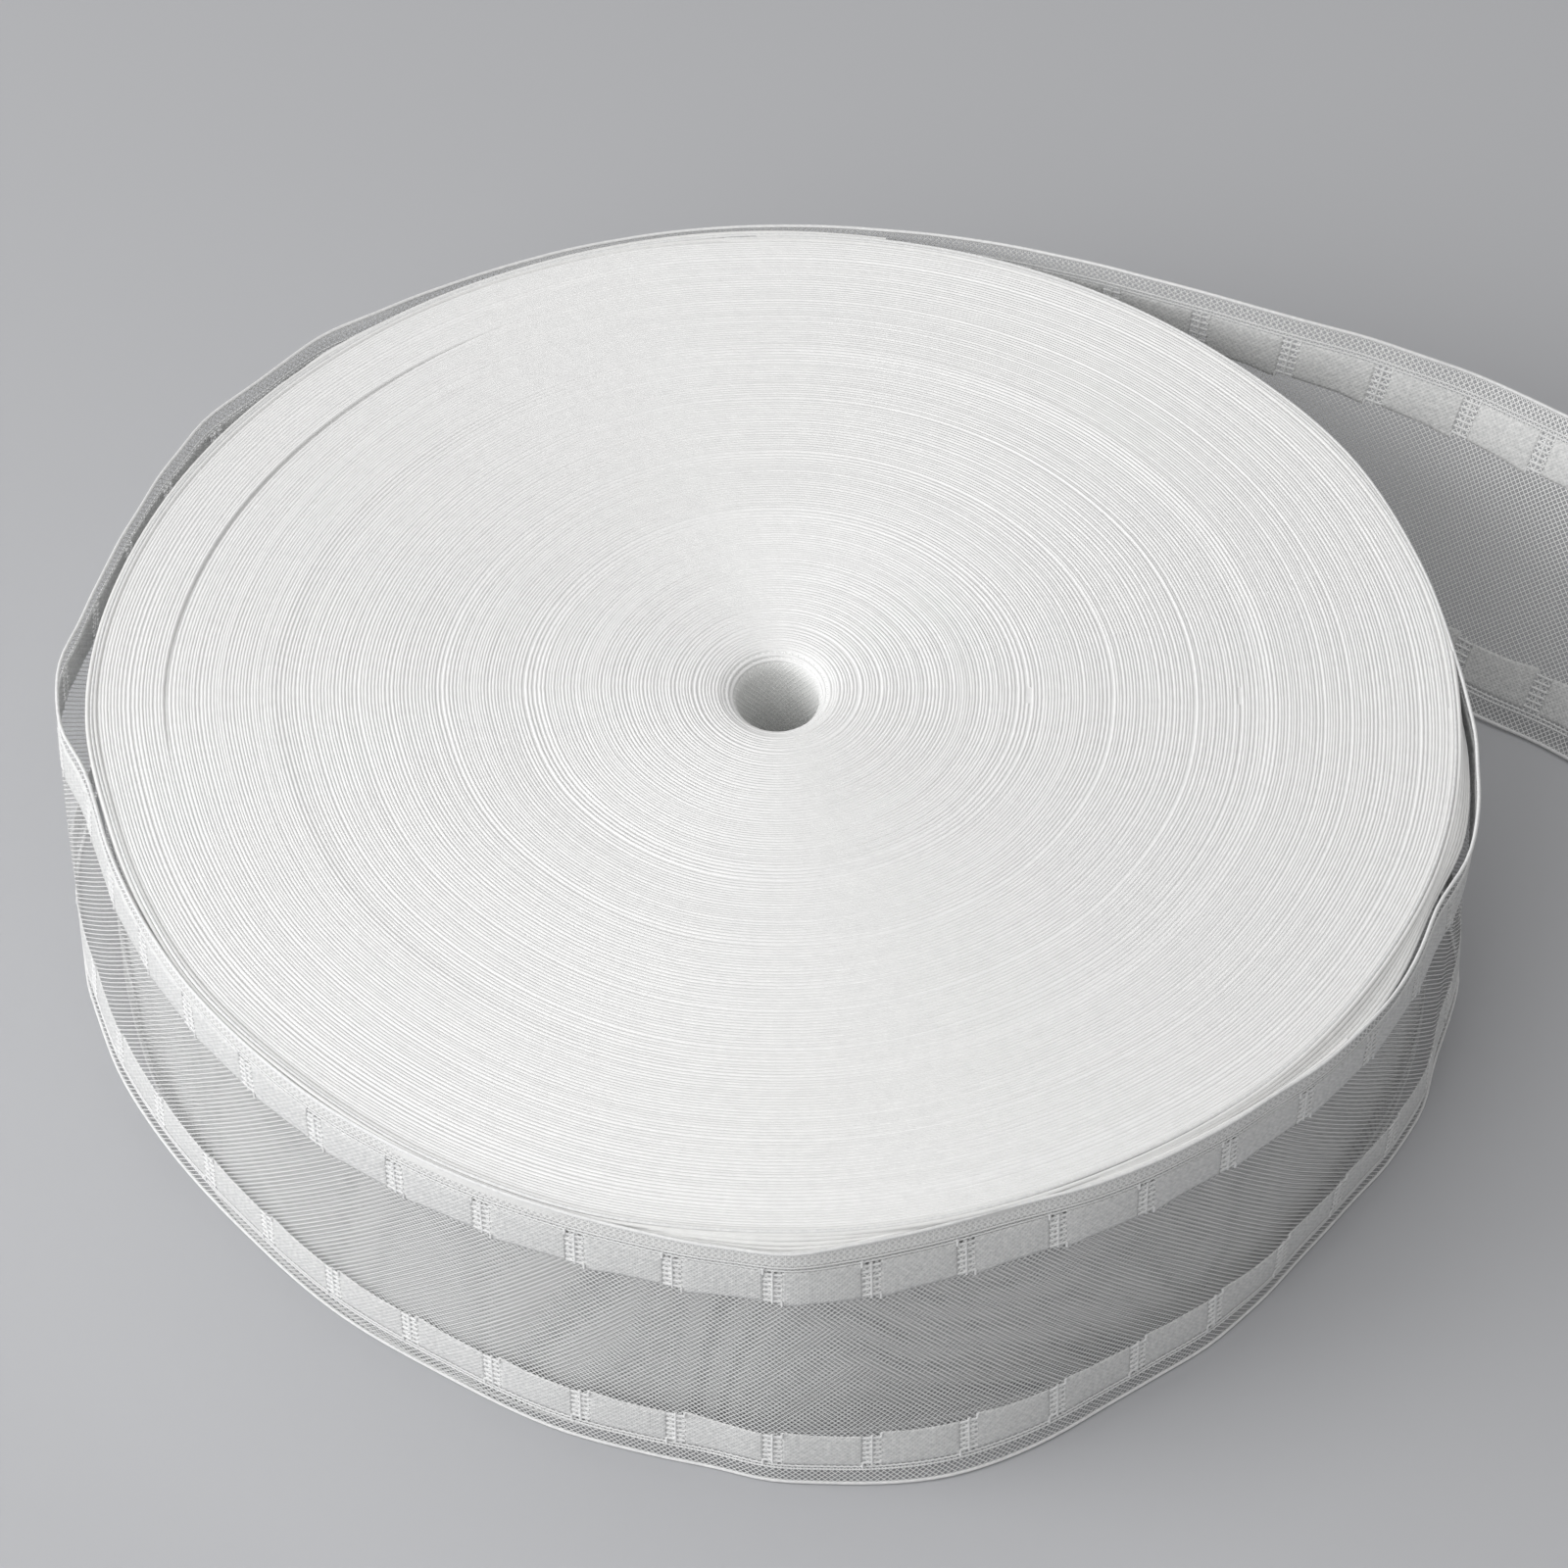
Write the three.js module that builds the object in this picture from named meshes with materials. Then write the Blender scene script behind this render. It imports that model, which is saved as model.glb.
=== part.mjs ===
import * as THREE from "three";

// A roll of white net heading tape lying flat, with its outermost turns loose and its end run out.
// All sizes are in millimetres; the roll's axis stands along +Z and the tape runs out towards +X.

// The tape
const TAPE_WIDTH = 80;
const NET_THICK = 1.2;
const BAND_THICK = 1.6; // the two rows of pockets and both selvedges
const STATION_STEP = 10.5; // distance between the loose tape's sections

// The wound body
const CORE_HALF_X = 10.6;
const CORE_HALF_Y = 12.4;
const BODY_SEGMENTS = 96;

// The rim of the wound body: fuller at the front and the right, with soft corners
const RIM = [
  { angle: 0, radius: 155.2 },
  { angle: 14, radius: 154.9 },
  { angle: 30, radius: 154.6 },
  { angle: 46, radius: 153.5 },
  { angle: 70, radius: 153.1 },
  { angle: 105, radius: 153.3 },
  { angle: 140, radius: 153.0 },
  { angle: 168, radius: 153.6 },
  { angle: 196, radius: 153.2 },
  { angle: 214, radius: 154.7 },
  { angle: 234, radius: 154.2 },
  { angle: 258, radius: 155.5 },
  { angle: 276, radius: 156.0 },
  { angle: 292, radius: 155.4 },
  { angle: 312, radius: 156.0 },
  { angle: 330, radius: 155.3 },
  { angle: 346, radius: 156.0 },
  { angle: 360, radius: 155.2 },
];

// The gap between two bundles of turns, a soft trough in the top face on the left
const TROUGH_DEPTH = 1.4;
const TROUGH_FROM = 118;
const TROUGH_TO = 196;

// Half section of the wound body: share of the way from the core's hole to the rim, and height
const SECTION = [
  { out: 0.0, up: 0.8 },
  { out: 0.0, up: 26.0 },
  { out: 0.0, up: 52.0 },
  { out: 0.0, up: 74.0 },
  { out: 0.01, up: 77.6 },
  { out: 0.03, up: 79.2 },
  { out: 0.08, up: 79.6 },
  { out: 0.2, up: 79.7 },
  { out: 0.34, up: 79.4 },
  { out: 0.36, up: 79.7 },
  { out: 0.55, up: 79.8 },
  { out: 0.7, up: 79.5 },
  { out: 0.72, up: 79.8 },
  { out: 0.875, up: 79.7, trough: 0 },
  { out: 0.89, up: 79.5, trough: 1 },
  { out: 0.905, up: 79.7, trough: 0 },
  { out: 0.97, up: 79.4 },
  { out: 0.992, up: 78.8 },
  { out: 1.0, up: 77.4 },
  { out: 1.0, up: 40.0 },
  { out: 1.0, up: 1.6 },
  { out: 0.988, up: 0.0 },
  { out: 0.5, up: 0.0 },
  { out: 0.008, up: 0.0 },
];

// Across the tape from its lower selvedge: share of the width, and thickness there
const ACROSS = [
  { at: 0.0, thick: BAND_THICK },
  { at: 0.025, thick: BAND_THICK },
  { at: 0.04, thick: NET_THICK },
  { at: 0.094, thick: BAND_THICK },
  { at: 0.214, thick: BAND_THICK },
  { at: 0.228, thick: NET_THICK },
  { at: 0.772, thick: NET_THICK },
  { at: 0.786, thick: BAND_THICK },
  { at: 0.906, thick: BAND_THICK },
  { at: 0.96, thick: NET_THICK },
  { at: 0.975, thick: BAND_THICK },
  { at: 1.0, thick: BAND_THICK },
];

// The loose turns from the inside out: angle round the roll, radius of the top and of the lower selvedge
const TURNS = [
  { angle: 555, top: 155.6, low: 156.4 },
  { angle: 543, top: 158.8, low: 159.0 },
  { angle: 530, top: 159.2, low: 160.4 },
  { angle: 515, top: 158.6, low: 158.6 },
  { angle: 500, top: 157.4, low: 156.8 },
  { angle: 485, top: 155.8, low: 155.6 },
  { angle: 472, top: 155.2, low: 155.2 },
  { angle: 459, top: 155.1, low: 155.1 },
  { angle: 446, top: 155.1, low: 155.1 },
  { angle: 432, top: 155.2, low: 155.2 },
  { angle: 418, top: 155.3, low: 155.3 },
  { angle: 403, top: 155.6, low: 155.6 },
  { angle: 389, top: 157.2, low: 156.6 },
  { angle: 375, top: 156.8, low: 158.0 },
  { angle: 363, top: 157.8, low: 161.0 },
  { angle: 353, top: 161.2, low: 164.0 },
  { angle: 344, top: 163.4, low: 162.4 },
  { angle: 336, top: 161.8, low: 163.0 },
  { angle: 327, top: 163.6, low: 159.6 },
  { angle: 318, top: 162.7, low: 159.2 },
  { angle: 309, top: 160.9, low: 161.2 },
  { angle: 297, top: 159.6, low: 163.4 },
  { angle: 287, top: 157.9, low: 168.0 },
  { angle: 280, top: 159.4, low: 168.8 },
  { angle: 271, top: 162.9, low: 165.8 },
  { angle: 262, top: 160.0, low: 161.9 },
  { angle: 252, top: 158.2, low: 159.6 },
  { angle: 241, top: 157.2, low: 156.4 },
  { angle: 230, top: 157.0, low: 156.2 },
  { angle: 217, top: 157.2, low: 156.6 },
  { angle: 207, top: 157.6, low: 159.6 },
  { angle: 198, top: 158.2, low: 163.2 },
  { angle: 190, top: 159.6, low: 165.6 },
  { angle: 184, top: 165.0, low: 167.4 },
  { angle: 177, top: 166.2, low: 171.0 },
  { angle: 168, top: 163.4, low: 172.0 },
  { angle: 158, top: 163.0, low: 169.0 },
  { angle: 149, top: 164.6, low: 165.4 },
  { angle: 141, top: 162.4, low: 163.6 },
  { angle: 134, top: 163.0, low: 161.6 },
  { angle: 123, top: 159.4, low: 159.8 },
  { angle: 112, top: 158.5, low: 158.8 },
  { angle: 101, top: 158.2, low: 158.2 },
  { angle: 90, top: 158.4, low: 158.2 },
  { angle: 78, top: 159.4, low: 158.4 },
  { angle: 69, top: 161.8, low: 158.6 },
];

// The end run out: place of the lower selvedge on the table, and the lean of the tape from upright in degrees
const RUN_OUT = [
  { x: 76, y: 139.5, lean: 4 },
  { x: 96.5, y: 125.5, lean: 9 },
  { x: 113, y: 112, lean: 15 },
  { x: 130, y: 98.5, lean: 22 },
  { x: 150, y: 82.5, lean: 30 },
  { x: 172.5, y: 65.2, lean: 32 },
  { x: 196, y: 49, lean: 34 },
  { x: 219, y: 27, lean: 42 },
  { x: 243, y: 3, lean: 56 },
  { x: 272, y: -22, lean: 72 },
  { x: 304, y: -46, lean: 84 },
];

const radians = THREE.MathUtils.degToRad;

function turned(radius, angle, height) {
  return new THREE.Vector3(
    radius * Math.cos(radians(angle)),
    radius * Math.sin(radians(angle)),
    height,
  );
}

// The wound body is a lathed section whose hole is oval and whose rim has soft corners
function coreRadius(angle) {
  const x = Math.cos(angle) / CORE_HALF_X;
  const y = Math.sin(angle) / CORE_HALF_Y;
  return 1 / Math.hypot(x, y);
}

function fullTurn(angle) {
  return THREE.MathUtils.euclideanModulo(THREE.MathUtils.radToDeg(angle), 360);
}

function rimRadius(angle) {
  const degrees = fullTurn(angle);
  const i = RIM.findIndex((row) => row.angle > degrees);
  const share = THREE.MathUtils.smoothstep(degrees, RIM[i - 1].angle, RIM[i].angle);
  return THREE.MathUtils.lerp(RIM[i - 1].radius, RIM[i].radius, share);
}

// The trough fades in and out between its two angles
function troughShare(angle) {
  const along = (fullTurn(angle) - TROUGH_FROM) / (TROUGH_TO - TROUGH_FROM);
  return along > 0 && along < 1 ? Math.sin(Math.PI * along) : 0;
}

function woundBody() {
  const closed = [SECTION[0], ...SECTION.toReversed()];
  const profile = closed.map((row) => new THREE.Vector2(1 + row.out, row.up));
  const body = new THREE.LatheGeometry(profile, BODY_SEGMENTS);
  body.rotateX(Math.PI / 2);
  const place = body.getAttribute("position");
  for (let i = 0; i < place.count; i++) {
    const angle = Math.atan2(place.getY(i), place.getX(i));
    const share = Math.hypot(place.getX(i), place.getY(i)) - 1;
    const radius = THREE.MathUtils.lerp(coreRadius(angle), rimRadius(angle), share);
    const row = closed[i % closed.length];
    const drop = row.trough ? TROUGH_DEPTH * troughShare(angle) : 0;
    const moved = new THREE.Vector3(Math.cos(angle), Math.sin(angle), 0).multiplyScalar(radius);
    place.setXYZ(i, moved.x, moved.y, row.up - drop);
  }
  return body;
}

// The two selvedges of the loose tape as matched curves, from the inner end to the cut end
function selvedges() {
  const lower = TURNS.map((row) => turned(row.low, row.angle, 0));
  const upper = TURNS.map((row) => {
    const height = Math.sqrt(TAPE_WIDTH ** 2 - (row.top - row.low) ** 2);
    return turned(row.top, row.angle, height);
  });
  const ground = RUN_OUT.map((row) => new THREE.Vector3(row.x, row.y, 0));
  const path = new THREE.CatmullRomCurve3([lower[lower.length - 1], ...ground]);
  RUN_OUT.forEach((row, i) => {
    const ahead = path.getTangent((i + 1) / ground.length);
    const back = new THREE.Vector3(-ahead.y, ahead.x, 0).normalize();
    const lean = radians(row.lean);
    const rise = new THREE.Vector3(0, 0, TAPE_WIDTH * Math.cos(lean));
    lower.push(ground[i]);
    upper.push(ground[i].clone().addScaledVector(back, TAPE_WIDTH * Math.sin(lean)).add(rise));
  });
  return {
    lower: new THREE.CatmullRomCurve3(lower),
    upper: new THREE.CatmullRomCurve3(upper),
  };
}

// The loose tape is a flat box bent between its selvedges; it never dips under the table
function looseTape() {
  const { lower, upper } = selvedges();
  const length = lower.getLength();
  const stations = Math.round(length / STATION_STEP);
  const cells = ACROSS.length - 1;
  const tape = new THREE.BoxGeometry(length, TAPE_WIDTH, 1, stations, cells, 1);
  const place = tape.getAttribute("position");
  const middle = (t) => lower.getPoint(t).add(upper.getPoint(t));
  for (let i = 0; i < place.count; i++) {
    const station = Math.round((place.getX(i) / length + 0.5) * stations);
    const along = lower.getUtoTmapping(station / stations);
    const row = ACROSS[Math.round((place.getY(i) / TAPE_WIDTH + 0.5) * cells)];
    const from = lower.getPoint(along);
    const up = upper.getPoint(along).sub(from).setLength(TAPE_WIDTH);
    const start = Math.max(along - 0.001, 0);
    const end = Math.min(along + 0.001, 1);
    const ahead = middle(end).sub(middle(start));
    const face = ahead.cross(up).normalize();
    const half = row.thick / 2;
    const lift = Math.abs(face.z) * (BAND_THICK / 2);
    from.addScaledVector(up, row.at).addScaledVector(face, half * Math.sign(place.getZ(i)));
    place.setXYZ(i, from.x, from.y, from.z + lift);
  }
  return tape;
}

function node(name, geometry, colour, roughness) {
  const finish = new THREE.MeshStandardMaterial({ color: colour, roughness, metalness: 0 });
  finish.side = THREE.DoubleSide;
  const mesh = new THREE.Mesh(geometry, finish);
  mesh.name = name;
  return mesh;
}

const roll = new THREE.Group();
roll.name = "heading_tape_roll";
roll.add(node("wound_body", woundBody(), 0xf4f4f0, 0.75));
roll.add(node("loose_end", looseTape(), 0xe6e8e8, 0.55));

// The frame's origin is the middle of the whole outline on the table
const outline = new THREE.Box3().setFromObject(roll, true);
const centre = outline.getCenter(new THREE.Vector3());
roll.children.forEach((mesh) => mesh.position.set(-centre.x, -centre.y, -outline.min.z));

export default roll;
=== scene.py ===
"""A roll of sheer white net heading tape, dressed over its CAD solids.

The tape is one woven strip: a monofilament net with two rows of dense hook pockets and two corded
selvedges. Its wound part shows only edges, which are swept along a real spiral; its loose turns and
its run-out end are drawn flat in the tape's own millimetres and then bent along the tape's route.
"""

import logging
import math
import random
from dataclasses import dataclass, field, replace
from enum import Enum
from typing import Callable, Iterable, Sequence

import bpy
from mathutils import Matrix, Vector


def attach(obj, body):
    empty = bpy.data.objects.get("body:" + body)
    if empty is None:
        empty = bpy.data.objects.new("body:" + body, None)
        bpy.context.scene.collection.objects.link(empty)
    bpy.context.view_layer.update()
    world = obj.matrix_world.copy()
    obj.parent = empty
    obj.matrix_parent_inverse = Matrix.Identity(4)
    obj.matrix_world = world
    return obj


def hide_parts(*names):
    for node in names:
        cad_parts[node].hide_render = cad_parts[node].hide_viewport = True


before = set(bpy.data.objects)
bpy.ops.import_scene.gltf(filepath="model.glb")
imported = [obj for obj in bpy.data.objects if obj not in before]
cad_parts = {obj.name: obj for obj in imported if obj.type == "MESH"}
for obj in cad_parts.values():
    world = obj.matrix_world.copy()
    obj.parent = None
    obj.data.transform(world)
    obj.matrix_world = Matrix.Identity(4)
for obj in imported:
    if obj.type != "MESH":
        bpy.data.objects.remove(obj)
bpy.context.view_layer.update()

MM = 0.001
BODY = "root"
AXIS_X, AXIS_Y = -90.083, 4.222  # the roll's axis in the CAD frame, in millimetres
TAPE_WIDTH = 80.0
FLAT_MAP = "tape_mm"  # the map with the tape's own millimetres, along and across

POLYESTER_IOR = 1.46
SHEEN_ROUGHNESS = 0.4
RELIEF_STRENGTH = 0.7
HATCH_SLOPE = 0.95  # how far the net's threads go along for each millimetre across
THREAD_SOFTNESS = 0.35  # of a thread's width, on either side of its edge
NOISE_MIDDLE = (0.3, 0.7)  # most of a noise's values lie between these

log = logging.getLogger("heading_tape")


class Slot(str, Enum):
    """The record's material slots."""

    WOUND = "wound_tape"
    NET = "net_tape"


class Weave(str, Enum):
    """What a sweep along the tape is."""

    SELVEDGE = "selvedge"
    EDGE_THREAD = "edge_thread"


# Colour and nodes


def linear(hex_colour: str) -> tuple[float, float, float, float]:
    """Turns an sRGB colour into the linear one that shaders take.

    Args:
        hex_colour: a colour such as "#F4F4F1".

    Returns:
        Red, green, blue and an alpha of 1.
    """
    parts = [int(hex_colour[i : i + 2], 16) / 255 for i in (1, 3, 5)]
    curve = [c / 12.92 if c <= 0.04045 else ((c + 0.055) / 1.055) ** 2.4 for c in parts]
    return (*curve, 1.0)


def add_node(
    tree: bpy.types.NodeTree,
    kind: str,
    settings: dict[str, object] | None = None,
    links: dict[int | str, object] | None = None,
) -> bpy.types.Node:
    """Adds one node with its settings and what feeds it.

    Args:
        tree: the tree that it goes into.
        kind: the node's type name.
        settings: attributes of the node, such as operation.
        links: input name or number to an output socket that feeds it, or to a plain value.

    Returns:
        The new node.
    """
    made = tree.nodes.new(kind)
    for name, value in (settings or {}).items():
        setattr(made, name, value)
    for key, value in (links or {}).items():
        if isinstance(value, bpy.types.NodeSocket):
            tree.links.new(value, made.inputs[key])
        else:
            made.inputs[key].default_value = value
    return made


def maths(
    tree: bpy.types.NodeTree, operation: str, *values: object, clamp: bool = False
) -> bpy.types.NodeSocket:
    """Adds one Math node.

    Args:
        tree: the material's tree.
        operation: what it works out.
        values: its inputs in order, sockets or numbers.
        clamp: whether the result is kept between 0 and 1.

    Returns:
        The socket with the result.
    """
    settings = {"operation": operation, "use_clamp": clamp}
    return add_node(tree, "ShaderNodeMath", settings, dict(enumerate(values))).outputs[0]


def remap(
    tree: bpy.types.NodeTree,
    value: bpy.types.NodeSocket,
    source: tuple[float, float],
    target: tuple[float, float],
    soft: bool = False,
    clamp: bool = True,
) -> bpy.types.NodeSocket:
    """Adds one Map Range node.

    Args:
        tree: the material's tree.
        value: the socket with the value.
        source: the range that it comes from.
        target: the range that it goes to.
        soft: whether it eases at both ends.
        clamp: whether it stays inside the target range.

    Returns:
        The socket with the result.
    """
    settings = {"interpolation_type": "SMOOTHSTEP" if soft else "LINEAR", "clamp": clamp}
    links = dict(enumerate((value, *source, *target)))
    return add_node(tree, "ShaderNodeMapRange", settings, links).outputs[0]


def noise(
    tree: bpy.types.NodeTree, place: bpy.types.NodeSocket, scale: float, detail: float = 2.0
) -> bpy.types.NodeSocket:
    """Adds one Noise Texture and returns the socket with its factor."""
    links = {"Vector": place, "Scale": scale, "Detail": detail}
    return add_node(tree, "ShaderNodeTexNoise", links=links).outputs["Fac"]


def blend(
    tree: bpy.types.NodeTree, share: bpy.types.NodeSocket, one: object, other: object
) -> bpy.types.NodeSocket:
    """Blends two colours by a share of 0 to 1 and returns the socket with the result."""
    first, second, result = 6, 7, 2  # the Mix node's colour sockets
    links = {0: share, first: one, second: other}
    return add_node(tree, "ShaderNodeMix", {"data_type": "RGBA"}, links).outputs[result]


def tape_place(
    tree: bpy.types.NodeTree,
) -> tuple[bpy.types.NodeSocket, bpy.types.NodeSocket, bpy.types.NodeSocket]:
    """Returns the sockets with the tape's own millimetres: as a vector, along it and across it."""
    flat = add_node(tree, "ShaderNodeUVMap", {"uv_map": FLAT_MAP}).outputs[0]
    split = add_node(tree, "ShaderNodeSeparateXYZ", links={0: flat})
    return flat, split.outputs[0], split.outputs[1]


def threads(
    tree: bpy.types.NodeTree,
    along: bpy.types.NodeSocket,
    across: bpy.types.NodeSocket,
    slope: float,
    pitch: float,
    width: float,
) -> bpy.types.NodeSocket:
    """One family of parallel threads, 1 on a thread and 0 between.

    Args:
        tree: the material's tree.
        along: millimetres along the tape.
        across: millimetres across it.
        slope: how far the threads go along for each millimetre across.
        pitch: millimetres from thread to thread.
        width: the thread's width in millimetres.

    Returns:
        The socket with the threads.
    """
    leant = maths(tree, "MULTIPLY_ADD", across, slope, along)
    wave = maths(tree, "PINGPONG", leant, pitch / 2)
    soft = THREAD_SOFTNESS * width
    return remap(tree, wave, (width / 2 - soft, width / 2 + soft), (1.0, 0.0), soft=True)


def diamonds(
    tree: bpy.types.NodeTree,
    along: bpy.types.NodeSocket,
    across: bpy.types.NodeSocket,
    pitch: float,
    width: float,
) -> bpy.types.NodeSocket:
    """Two families of threads that cross in diamonds, with the arguments of threads."""
    one = threads(tree, along, across, HATCH_SLOPE, pitch, width)
    other = threads(tree, along, across, -HATCH_SLOPE, pitch, width)
    return maths(tree, "MAXIMUM", one, other)


# The finishes


@dataclass(frozen=True)
class Finish:
    """What every finish of the tape shares.

    Attributes:
        name: the real material's common name and how it was made.
        colour: its sRGB colour.
        shade: its darker colour: painted shade between the threads of the net, the pockets' twill
            and the wall, and random tone in the mottling, twist and fibres.
        roughness: of the surface.
        sheen: the soft edge light of fine fibres.
    """

    name: str
    colour: str
    shade: str
    roughness: float = 0.6
    sheen: float = 0.25

    def start(self) -> tuple[bpy.types.Material, bpy.types.NodeTree, bpy.types.Node]:
        """Makes the material with its bare shader.

        Returns:
            The material, its tree and its shader.
        """
        material = bpy.data.materials.new(self.name)
        material.use_nodes = True
        tree = material.node_tree
        tree.nodes.clear()
        links = {
            "Roughness": self.roughness,
            "IOR": POLYESTER_IOR,
            "Sheen Weight": self.sheen,
            "Sheen Roughness": SHEEN_ROUGHNESS,
        }
        shader = add_node(tree, "ShaderNodeBsdfPrincipled", links=links)
        add_node(tree, "ShaderNodeOutputMaterial", links={"Surface": shader.outputs["BSDF"]})
        return material, tree, shader

    def tint(
        self, tree: bpy.types.NodeTree, shader: bpy.types.Node, share: bpy.types.NodeSocket
    ) -> None:
        """Blends from the colour to its shade by a share of 0 to 1.

        Args:
            tree: the material's tree.
            shader: its shader.
            share: the socket with the share.
        """
        mixed = blend(tree, share, linear(self.colour), linear(self.shade))
        tree.links.new(mixed, shader.inputs["Base Color"])

    def bump(
        self,
        tree: bpy.types.NodeTree,
        shader: bpy.types.Node,
        height: bpy.types.NodeSocket,
        depth_mm: float,
    ) -> None:
        """Raises the surface by a height of 0 to 1.

        Args:
            tree: the material's tree.
            shader: its shader.
            height: the socket with the height.
            depth_mm: how deep the relief is.
        """
        links = {"Height": height, "Distance": depth_mm * MM, "Strength": RELIEF_STRENGTH}
        relief = add_node(tree, "ShaderNodeBump", links=links)
        tree.links.new(relief.outputs["Normal"], shader.inputs["Normal"])


@dataclass(frozen=True)
class NetFinish(Finish):
    """Polyester monofilament net, leno woven: hair-thin clear threads crossing in diamonds.

    It gives the eye a grey haze over what lies behind, finely hatched both ways; the grey beside
    and between its threads is painted shade. The real cell is about 1 mm wide; it is drawn 1.45 mm
    wide so that it still shows in the picture. Its upper edge and its ladders are drawn denser and
    painted lighter at the front, where the turns behind fill them: painted light for those lit turns.

    Attributes:
        pitch: from thread to thread, in mm.
        thread: a thread's width, in mm.
        open_alpha: how much the open cells hide.
        thread_alpha: how much the threads hide.
        rung_band: how wide the upper selvedge's band with rungs is, in mm.
        rung_share: the rungs' width as a share of a thread's.
        row_middle: from the tape's middle to the middle of a row of pockets, in mm.
        row_half: half the row's width, in mm.
        row_alpha: how much more the net hides in the rows.
        front: millimetres along the tape between which it goes round the roll's front.
        front_alpha: how much more the upper edge hides there.
        front_ladder: the ladders' share of that.
        front_fade: over how many millimetres that fades out.
        front_painted_light: how much lighter the edge is painted there, painted light for the lit
            turns behind it.
        haze: how much the net's hiding wanders.
        haze_scale: of that wandering, in waves a millimetre.
        hollow: between which values of the weave its painted shade fades out.
        relief: how deep the weave is, in mm.
    """

    pitch: float = 1.45
    thread: float = 0.38
    open_alpha: float = 0.07
    thread_alpha: float = 0.92
    rung_band: float = 4.6
    rung_share: float = 0.55
    row_middle: float = 27.9
    row_half: float = 4.8
    row_alpha: float = 0.3
    front: tuple[float, float] = (0.0, 0.0)
    front_alpha: float = 0.62
    front_ladder: float = 0.5
    front_fade: float = 30.0
    front_painted_light: float = 0.85
    haze: float = 0.02
    haze_scale: float = 0.16
    hollow: tuple[float, float] = (0.35, 0.95)
    relief: float = 0.15

    def at_front(
        self, tree: bpy.types.NodeTree, along: bpy.types.NodeSocket
    ) -> bpy.types.NodeSocket:
        """Returns the socket that is 1 where the tape goes round the roll's front, and 0 elsewhere."""
        start, end = self.front
        middle, half = (start + end) / 2, (end - start) / 2
        far = maths(tree, "ABSOLUTE", maths(tree, "SUBTRACT", along, middle))
        return remap(tree, far, (half - self.front_fade, half), (1.0, 0.0), soft=True)

    def make(self) -> bpy.types.Material:
        """Returns the net's material."""
        material, tree, shader = self.start()
        flat, along, across = tape_place(tree)
        by_selvedge = maths(tree, "GREATER_THAN", across, TAPE_WIDTH - self.rung_band)
        out = maths(tree, "ABSOLUTE", maths(tree, "SUBTRACT", across, TAPE_WIDTH / 2))
        in_row = maths(tree, "COMPARE", out, self.row_middle, self.row_half)
        rungs = threads(tree, along, across, 0.0, self.pitch, self.rung_share * self.thread)
        rungs = maths(tree, "MULTIPLY", rungs, by_selvedge)
        crossed = diamonds(tree, along, across, self.pitch, self.thread)
        both = maths(tree, "MAXIMUM", crossed, rungs)

        cloudy = noise(tree, flat, self.haze_scale)
        hazy = remap(tree, cloudy, NOISE_MIDDLE, (-self.haze, self.haze))
        filled = maths(tree, "MULTIPLY_ADD", in_row, self.row_alpha, hazy)
        backed = maths(tree, "MULTIPLY_ADD", in_row, self.front_ladder, by_selvedge)
        dense = maths(tree, "MULTIPLY", backed, self.at_front(tree, along))
        filled = maths(tree, "MULTIPLY_ADD", dense, self.front_alpha, filled)
        woven = (self.open_alpha, self.thread_alpha)
        alpha = remap(tree, both, (0.0, 1.0), woven, clamp=False)
        alpha = maths(tree, "ADD", alpha, filled, clamp=True)
        tree.links.new(alpha, shader.inputs["Alpha"])

        # painted shade: grey beside and between the threads, white on their middles; lighter at the
        # front as painted light
        shade = remap(tree, both, self.hollow, (1.0, 0.0))
        shade = maths(tree, "MULTIPLY_ADD", dense, -self.front_painted_light, shade, clamp=True)
        self.tint(tree, shader, shade)
        self.bump(tree, shader, both, self.relief)
        return material


@dataclass(frozen=True)
class PocketFinish(Finish):
    """Polyester yarn, satin woven into flat tubes: dense, milky white, with a fine twill in it.

    Attributes:
        rib: from thread to thread of the twill, in mm.
        thread: a thread's width, in mm.
        cloud_scale: of its mottling, in waves a millimetre.
        cloud_range: between which values of the noise it gets darker.
        palest: the least share of its shade.
        lit: how much lighter the threads are painted than the twill's gaps, which carry painted shade.
        relief: how deep the weave is, in mm.
    """

    rib: float = 1.2
    thread: float = 0.4
    cloud_scale: float = 0.9
    cloud_range: tuple[float, float] = (0.32, 0.68)
    palest: float = 0.3
    lit: float = 0.3
    relief: float = 0.12

    def make(self) -> bpy.types.Material:
        """Returns the pockets' material."""
        material, tree, shader = self.start()
        flat, along, across = tape_place(tree)
        weave = diamonds(tree, along, across, self.rib, self.thread)
        cloudy = noise(tree, flat, self.cloud_scale, detail=3.0)
        mottled = remap(tree, cloudy, self.cloud_range, (self.palest, 1.0))
        # painted shade in the twill's gaps, over the random mottling
        woven = maths(tree, "MULTIPLY_ADD", weave, -self.lit, mottled, clamp=True)
        self.tint(tree, shader, woven)
        self.bump(tree, shader, weave, self.relief)
        return material


@dataclass(frozen=True)
class CordFinish(Finish):
    """Polyester yarn laid up into the selvedge's cord: the brightest white, with a soft gleam.

    Attributes:
        twist_scale: how fine its twist is, in waves a metre.
        relief: how deep that is, in mm.
    """

    twist_scale: float = 900.0
    relief: float = 0.1

    def make(self) -> bpy.types.Material:
        """Returns the cords' material."""
        material, tree, shader = self.start()
        place = add_node(tree, "ShaderNodeTexCoord").outputs["Object"]
        twist = noise(tree, place, self.twist_scale)
        self.tint(tree, shader, twist)
        self.bump(tree, shader, twist, self.relief)
        return material


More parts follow.
